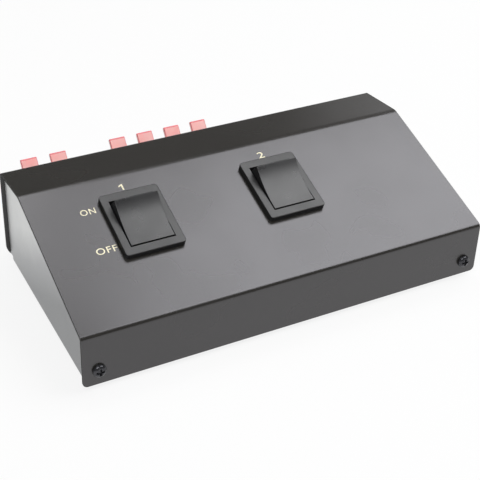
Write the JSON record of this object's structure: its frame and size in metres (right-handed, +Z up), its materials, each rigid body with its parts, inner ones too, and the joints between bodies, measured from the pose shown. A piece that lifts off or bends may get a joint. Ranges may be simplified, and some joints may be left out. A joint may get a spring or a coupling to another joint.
{
  "type": "two-way speaker selector switch",
  "caption": "Low sloping steel case with numbered ON/OFF rocker switches on its slope and blocks of red and black spring terminals on its rear panel.",
  "frame": {"origin": "on the resting surface, under the middle of the box: the feet's undersides are at z = 0", "axes": "+X to the right along the front, +Y to the rear panel and its terminals, +Z up"},
  "size_m": [0.184, 0.1086, 0.0506],
  "materials": {
    "grey_black_paint": "fine satin paint, near black with a grey sheen",
    "plated_steel": "bare plated sheet, dull",
    "blackened_steel": "black finish, slightly glossy",
    "zinc_plate": "bright zinc plate",
    "rubber": "matt black",
    "black_nylon": "moulded, satin",
    "rocker_plastic": "moulded, semi-gloss",
    "natural_nylon": "translucent white",
    "spring_steel": "plain drawn or rolled",
    "brass": "rolled strip",
    "tinned_brass": "tinned, dull",
    "black_abs": "moulded, satin",
    "phenolic_board": "brown paper laminate",
    "red_lever": "moulded, slightly translucent, sun-faded",
    "black_lever": "moulded, semi-gloss",
    "red_pvc": "soft insulation",
    "black_pvc": "soft insulation",
    "printed_ink": "pale yellow screen-printed ink"
  },
  "bodies": {
    "case": {"cover": "grey_black_paint", "base": "plated_steel", "front_screws": "blackened_steel", "rear_screws": "blackened_steel", "rubber_feet": "rubber", "switch_housing_1": "black_nylon", "switch_housing_2": "black_nylon", "common_lugs_1": "tinned_brass", "common_lugs_2": "tinned_brass", "on_lugs_1": "tinned_brass", "on_lugs_2": "tinned_brass", "input_terminal_body": "black_abs", "output_terminal_body": "black_abs", "input_terminal_back": "phenolic_board", "output_terminal_back": "phenolic_board", "input_contacts": "tinned_brass", "output_contacts": "tinned_brass", "input_springs_upper": "spring_steel", "input_springs_lower": "spring_steel", "output_springs_upper": "spring_steel", "output_springs_lower": "spring_steel", "terminal_screws": "blackened_steel", "terminal_nuts": "zinc_plate", "input_wires": "red_pvc", "jumper_wires": "red_pvc", "output_wires_1": "red_pvc", "output_wires_2": "red_pvc", "return_wires": "black_pvc"},
    "rocker_1": {"rocker_1": "rocker_plastic", "plungers_1": "natural_nylon", "plunger_springs_1": "spring_steel"},
    "contact_blades_1": {"contact_blades_1": "brass"},
    "rocker_2": {"rocker_2": "rocker_plastic", "plungers_2": "natural_nylon", "plunger_springs_2": "spring_steel"},
    "contact_blades_2": {"contact_blades_2": "brass"},
    "input_lever_red_1": {"input_lever_red_1": "red_lever"},
    "input_lever_black_1": {"input_lever_black_1": "black_lever"},
    "input_lever_red_2": {"input_lever_red_2": "red_lever"},
    "input_lever_black_2": {"input_lever_black_2": "black_lever"},
    "output_lever_red_1": {"output_lever_red_1": "red_lever"},
    "output_lever_black_1": {"output_lever_black_1": "black_lever"},
    "output_lever_red_2": {"output_lever_red_2": "red_lever"},
    "output_lever_black_2": {"output_lever_black_2": "black_lever"},
    "output_lever_red_3": {"output_lever_red_3": "red_lever"},
    "output_lever_black_3": {"output_lever_black_3": "black_lever"},
    "output_lever_red_4": {"output_lever_red_4": "red_lever"},
    "output_lever_black_4": {"output_lever_black_4": "black_lever"}
  },
  "joints": [
    {"name": "rocker_1_tilt", "type": "hinge", "parent": "case", "child": "rocker_1", "pos_m": [-0.0488, -0.00834, 0.03854], "axis": [1, 0, 0], "range_deg": [-30, 0]},
    {"name": "contact_blades_1_rock", "type": "hinge", "parent": "case", "child": "contact_blades_1", "pos_m": [-0.0488, -0.00446, 0.02677], "axis": [1, 0, 0], "range_deg": [0, 15]},
    {"name": "rocker_2_tilt", "type": "hinge", "parent": "case", "child": "rocker_2", "pos_m": [0.0162, -0.00834, 0.03854], "axis": [1, 0, 0], "range_deg": [-30, 0]},
    {"name": "contact_blades_2_rock", "type": "hinge", "parent": "case", "child": "contact_blades_2", "pos_m": [0.0162, -0.00446, 0.02677], "axis": [1, 0, 0], "range_deg": [0, 15]},
    {"name": "input_lever_red_1_press", "type": "hinge", "parent": "case", "child": "input_lever_red_1", "pos_m": [-0.0758, 0.04578, 0.0341], "axis": [-1, 0, 0], "range_deg": [0, 22], "stiffness_Nm_per_rad": 0.02, "springref_deg": -17.19, "deforming": ["input_springs_upper"]},
    {"name": "input_lever_black_1_press", "type": "hinge", "parent": "case", "child": "input_lever_black_1", "pos_m": [-0.0758, 0.04578, 0.0141], "axis": [1, 0, 0], "range_deg": [0, 22], "stiffness_Nm_per_rad": 0.02, "springref_deg": -17.19, "deforming": ["input_springs_lower"]},
    {"name": "input_lever_red_2_press", "type": "hinge", "parent": "case", "child": "input_lever_red_2", "pos_m": [-0.0624, 0.04578, 0.0341], "axis": [-1, 0, 0], "range_deg": [0, 22], "stiffness_Nm_per_rad": 0.02, "springref_deg": -17.19, "deforming": ["input_springs_upper"]},
    {"name": "input_lever_black_2_press", "type": "hinge", "parent": "case", "child": "input_lever_black_2", "pos_m": [-0.0624, 0.04578, 0.0141], "axis": [1, 0, 0], "range_deg": [0, 22], "stiffness_Nm_per_rad": 0.02, "springref_deg": -17.19, "deforming": ["input_springs_lower"]},
    {"name": "output_lever_red_1_press", "type": "hinge", "parent": "case", "child": "output_lever_red_1", "pos_m": [-0.0341, 0.04578, 0.0348], "axis": [-1, 0, 0], "range_deg": [0, 22], "stiffness_Nm_per_rad": 0.02, "springref_deg": -17.19, "deforming": ["output_springs_upper"]},
    {"name": "output_lever_black_1_press", "type": "hinge", "parent": "case", "child": "output_lever_black_1", "pos_m": [-0.0341, 0.04578, 0.0148], "axis": [1, 0, 0], "range_deg": [0, 22], "stiffness_Nm_per_rad": 0.02, "springref_deg": -17.19, "deforming": ["output_springs_lower"]},
    {"name": "output_lever_red_2_press", "type": "hinge", "parent": "case", "child": "output_lever_red_2", "pos_m": [-0.0207, 0.04578, 0.0348], "axis": [-1, 0, 0], "range_deg": [0, 22], "stiffness_Nm_per_rad": 0.02, "springref_deg": -17.19, "deforming": ["output_springs_upper"]},
    {"name": "output_lever_black_2_press", "type": "hinge", "parent": "case", "child": "output_lever_black_2", "pos_m": [-0.0207, 0.04578, 0.0148], "axis": [1, 0, 0], "range_deg": [0, 22], "stiffness_Nm_per_rad": 0.02, "springref_deg": -17.19, "deforming": ["output_springs_lower"]},
    {"name": "output_lever_red_3_press", "type": "hinge", "parent": "case", "child": "output_lever_red_3", "pos_m": [-0.0073, 0.04578, 0.0348], "axis": [-1, 0, 0], "range_deg": [0, 22], "stiffness_Nm_per_rad": 0.02, "springref_deg": -17.19, "deforming": ["output_springs_upper"]},
    {"name": "output_lever_black_3_press", "type": "hinge", "parent": "case", "child": "output_lever_black_3", "pos_m": [-0.0073, 0.04578, 0.0148], "axis": [1, 0, 0], "range_deg": [0, 22], "stiffness_Nm_per_rad": 0.02, "springref_deg": -17.19, "deforming": ["output_springs_lower"]},
    {"name": "output_lever_red_4_press", "type": "hinge", "parent": "case", "child": "output_lever_red_4", "pos_m": [0.0061, 0.04578, 0.0348], "axis": [-1, 0, 0], "range_deg": [0, 22], "stiffness_Nm_per_rad": 0.02, "springref_deg": -17.19, "deforming": ["output_springs_upper"]},
    {"name": "output_lever_black_4_press", "type": "hinge", "parent": "case", "child": "output_lever_black_4", "pos_m": [0.0061, 0.04578, 0.0148], "axis": [1, 0, 0], "range_deg": [0, 22], "stiffness_Nm_per_rad": 0.02, "springref_deg": -17.19, "deforming": ["output_springs_lower"]}
  ],
  "couplings": [
    {"joint": "contact_blades_1_rock", "follows": "rocker_1_tilt", "ratio": -0.5},
    {"joint": "contact_blades_2_rock", "follows": "rocker_2_tilt", "ratio": -0.5}
  ]
}
